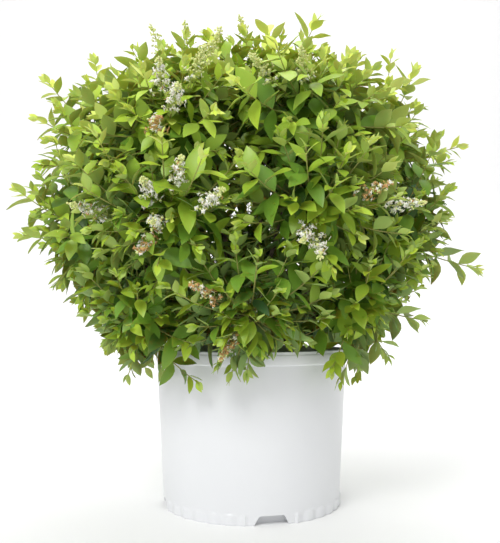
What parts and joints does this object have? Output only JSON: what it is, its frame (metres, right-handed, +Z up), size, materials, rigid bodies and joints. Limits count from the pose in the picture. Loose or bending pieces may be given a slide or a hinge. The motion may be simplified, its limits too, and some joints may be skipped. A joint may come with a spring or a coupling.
{
  "type": "potted privet",
  "caption": "Bushy flowering privet with pale panicles, grown from a short stem in a plain white round nursery pot.",
  "frame": {"origin": "middle of the pot's flat underside, where the potted plant stands", "axes": "+Z up the plant, -Y towards the viewer of the reference view, +X to the viewer's right"},
  "size_m": [0.6926, 0.6307, 0.7051],
  "materials": {
    "pot_white": "satin",
    "soil_mix": "matte",
    "bark": "matte",
    "foliage": "satin",
    "blossom": "matte"
  },
  "bodies": {
    "root": {"pot": "pot_white", "soil": "soil_mix", "short_stem": "bark", "bough_skirt_1": "bark", "bough_skirt_2": "bark", "bough_skirt_3": "bark", "bough_skirt_4": "bark", "bough_skirt_5": "bark", "bough_skirt_6": "bark", "bough_skirt_7": "bark", "bough_middle_1": "bark", "bough_middle_2": "bark", "bough_middle_3": "bark", "bough_middle_4": "bark", "bough_middle_5": "bark", "bough_middle_6": "bark", "bough_middle_7": "bark", "bough_upper_1": "bark", "bough_upper_2": "bark", "bough_upper_3": "bark", "bough_upper_4": "bark", "bough_upper_5": "bark", "bough_upper_6": "bark", "bough_top_1": "bark", "bough_top_2": "bark", "bough_top_3": "bark", "foliage_skirt_1": "foliage", "foliage_skirt_2": "foliage", "foliage_skirt_3": "foliage", "foliage_skirt_4": "foliage", "foliage_skirt_5": "foliage", "foliage_skirt_6": "foliage", "foliage_skirt_7": "foliage", "foliage_middle_1": "foliage", "foliage_middle_2": "foliage", "foliage_middle_3": "foliage", "foliage_middle_4": "foliage", "foliage_middle_5": "foliage", "foliage_middle_6": "foliage", "foliage_middle_7": "foliage", "foliage_upper_1": "foliage", "foliage_upper_2": "foliage", "foliage_upper_3": "foliage", "foliage_upper_4": "foliage", "foliage_upper_5": "foliage", "foliage_upper_6": "foliage", "foliage_top_1": "foliage", "foliage_top_2": "foliage", "foliage_top_3": "foliage"}
  },
  "joints": []
}
